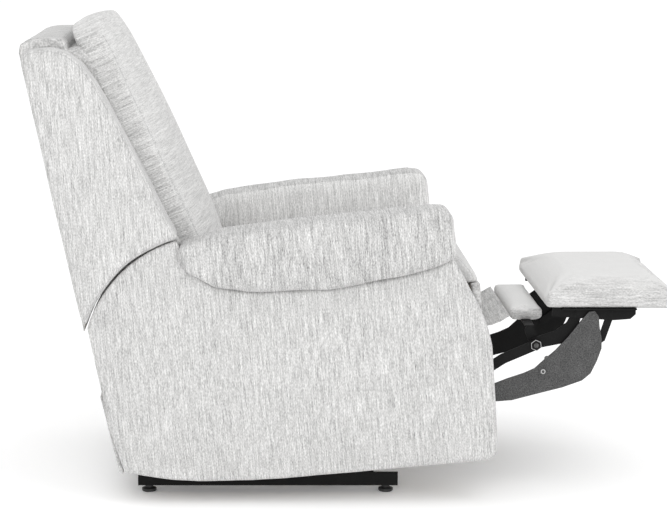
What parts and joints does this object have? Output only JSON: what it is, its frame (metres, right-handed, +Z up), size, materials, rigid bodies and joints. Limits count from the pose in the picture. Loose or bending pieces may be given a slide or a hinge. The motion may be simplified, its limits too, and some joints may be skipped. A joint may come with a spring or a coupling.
{
  "type": "recliner armchair",
  "caption": "Push-back recliner armchair with rolled arms, a winged reclining back, a folding footrest on a scissor linkage and a steel base on glides.",
  "frame": {"origin": "on the floor, under the middle of the chair as it stands reclined", "axes": "+Z up, front of the chair towards -Y, the sitter's left towards +X"},
  "size_m": [0.8, 1.5046, 1.0665],
  "materials": {
    "cover_fabric": "light grey heathered chenille weave",
    "cushion_fabric": "light grey heathered chenille weave, smoother nap",
    "frame_wood": "unfinished plywood and softwood",
    "black_steel": "satin black powder coat",
    "grey_steel": "dull grey zinc plate",
    "spring_steel": "drawn wire",
    "strap_webbing": "woven elastic webbing",
    "glide_plastic": "moulded black"
  },
  "bodies": {
    "base": {"base_rail_left": "black_steel", "base_rail_right": "black_steel", "base_crossbar_rear": "black_steel", "base_crossbar_front": "black_steel", "glide_rear_left": "glide_plastic", "glide_rear_right": "glide_plastic", "glide_front_left": "glide_plastic", "glide_front_right": "glide_plastic"},
    "rear_swing": {"rear_swing_link_left": "black_steel", "rear_swing_link_right": "black_steel"},
    "front_swing": {"front_swing_link_left": "black_steel", "front_swing_link_right": "black_steel"},
    "seat_body": {"arm_outer_panel_left": "cover_fabric", "arm_outer_panel_right": "cover_fabric", "arm_inner_panel_left": "cover_fabric", "arm_inner_panel_right": "cover_fabric", "arm_front_panel_left": "cover_fabric", "arm_front_panel_right": "cover_fabric", "arm_roll_left": "cover_fabric", "arm_roll_right": "cover_fabric", "arm_frame_left": "frame_wood", "arm_frame_right": "frame_wood", "seat_side_rail_left": "frame_wood", "seat_side_rail_right": "frame_wood", "mechanism_plate_left": "black_steel", "mechanism_plate_right": "black_steel", "seat_front_rail": "frame_wood", "seat_rear_rail": "frame_wood", "seat_springs": "spring_steel", "seat_cushion": "cushion_fabric", "seat_front_panel": "cover_fabric", "rear_lower_panel": "cover_fabric"},
    "backrest": {"back_frame": "frame_wood", "back_straps": "strap_webbing", "back_cushion": "cushion_fabric", "back_outer_panel": "cover_fabric", "back_wing_left": "cover_fabric", "back_wing_right": "cover_fabric", "back_hinge_arm_left": "black_steel", "back_hinge_arm_right": "black_steel"},
    "drive_links": {"drive_link_left": "black_steel", "drive_link_right": "black_steel", "drive_tube": "black_steel"},
    "long_links": {"long_link_left": "grey_steel", "long_link_right": "grey_steel"},
    "bar_links": {"bar_link_left": "black_steel", "bar_link_right": "black_steel"},
    "ottoman": {"ottoman_board": "frame_wood", "ottoman_pad": "cushion_fabric", "ottoman_bracket_left": "black_steel", "ottoman_bracket_right": "black_steel"},
    "curved_links": {"curved_link_left": "black_steel", "curved_link_right": "black_steel"},
    "front_links": {"front_link_left": "black_steel", "front_link_right": "black_steel"},
    "pad": {"pad_board": "frame_wood", "pad_cushion": "cushion_fabric", "pad_arm_left": "black_steel", "pad_arm_right": "black_steel"},
    "apron": {"apron": "cover_fabric"}
  },
  "joints": [
    {"name": "carriage_swing", "type": "hinge", "parent": "base", "child": "rear_swing", "pos_m": [0, 0.44116, 0.04], "axis": [-1, 0, 0], "range_deg": [0, 21.94]},
    {"name": "front_swing_hinge", "type": "hinge", "parent": "base", "child": "front_swing", "pos_m": [0, -0.03734, 0.04], "axis": [-1, 0, 0], "range_deg": [0, 19.57]},
    {"name": "body_hinge", "type": "hinge", "parent": "rear_swing", "child": "seat_body", "pos_m": [0, 0.35766, 0.2112], "axis": [-1, 0, 0], "range_deg": [-27.55, 0]},
    {"name": "recline", "type": "hinge", "parent": "seat_body", "child": "backrest", "pos_m": [0, 0.31905, 0.3204], "axis": [-1, 0, 0], "range_deg": [0, 28]},
    {"name": "drive_hinge", "type": "hinge", "parent": "seat_body", "child": "drive_links", "pos_m": [0, -0.12332, 0.42328], "axis": [-1, 0, 0], "range_deg": [-69.19, 0]},
    {"name": "long_link_hinge", "type": "hinge", "parent": "drive_links", "child": "long_links", "pos_m": [0, -0.30878, 0.22815], "axis": [-1, 0, 0], "range_deg": [0, 53.2]},
    {"name": "ottoman_hinge", "type": "hinge", "parent": "long_links", "child": "ottoman", "pos_m": [0, -0.55453, 0.40954], "axis": [-1, 0, 0], "range_deg": [-68.84, 0]},
    {"name": "bar_hinge", "type": "hinge", "parent": "drive_links", "child": "bar_links", "pos_m": [0, -0.27433, 0.2644], "axis": [-1, 0, 0], "range_deg": [0, 55.02]},
    {"name": "curved_link_hinge", "type": "hinge", "parent": "ottoman", "child": "curved_links", "pos_m": [0, -0.51773, 0.41605], "axis": [-1, 0, 0], "range_deg": [0, 76.61]},
    {"name": "front_link_hinge", "type": "hinge", "parent": "ottoman", "child": "front_links", "pos_m": [0, -0.59335, 0.41328], "axis": [-1, 0, 0], "range_deg": [0, 58.03]},
    {"name": "pad_hinge", "type": "hinge", "parent": "curved_links", "child": "pad", "pos_m": [0, -0.42025, 0.34337], "axis": [-1, 0, 0], "range_deg": [-76.61, 0]},
    {"name": "apron_hinge", "type": "hinge", "parent": "seat_body", "child": "apron", "pos_m": [0, -0.29342, 0.40851], "axis": [-1, 0, 0], "range_deg": [-80.32, 0]}
  ],
  "couplings": [
    {"joint": "front_swing_hinge", "follows": "carriage_swing", "ratio": 0.8885},
    {"joint": "body_hinge", "follows": "carriage_swing", "ratio": -1.2507},
    {"joint": "drive_hinge", "follows": "carriage_swing", "ratio": -3.1418},
    {"joint": "long_link_hinge", "follows": "carriage_swing", "ratio": 2.4155},
    {"joint": "ottoman_hinge", "follows": "carriage_swing", "ratio": -3.1259},
    {"joint": "bar_hinge", "follows": "carriage_swing", "ratio": 2.4981},
    {"joint": "curved_link_hinge", "follows": "carriage_swing", "ratio": 3.4786},
    {"joint": "front_link_hinge", "follows": "carriage_swing", "ratio": 2.635},
    {"joint": "pad_hinge", "follows": "carriage_swing", "ratio": -3.4786},
    {"joint": "apron_hinge", "follows": "carriage_swing", "ratio": -3.647}
  ]
}
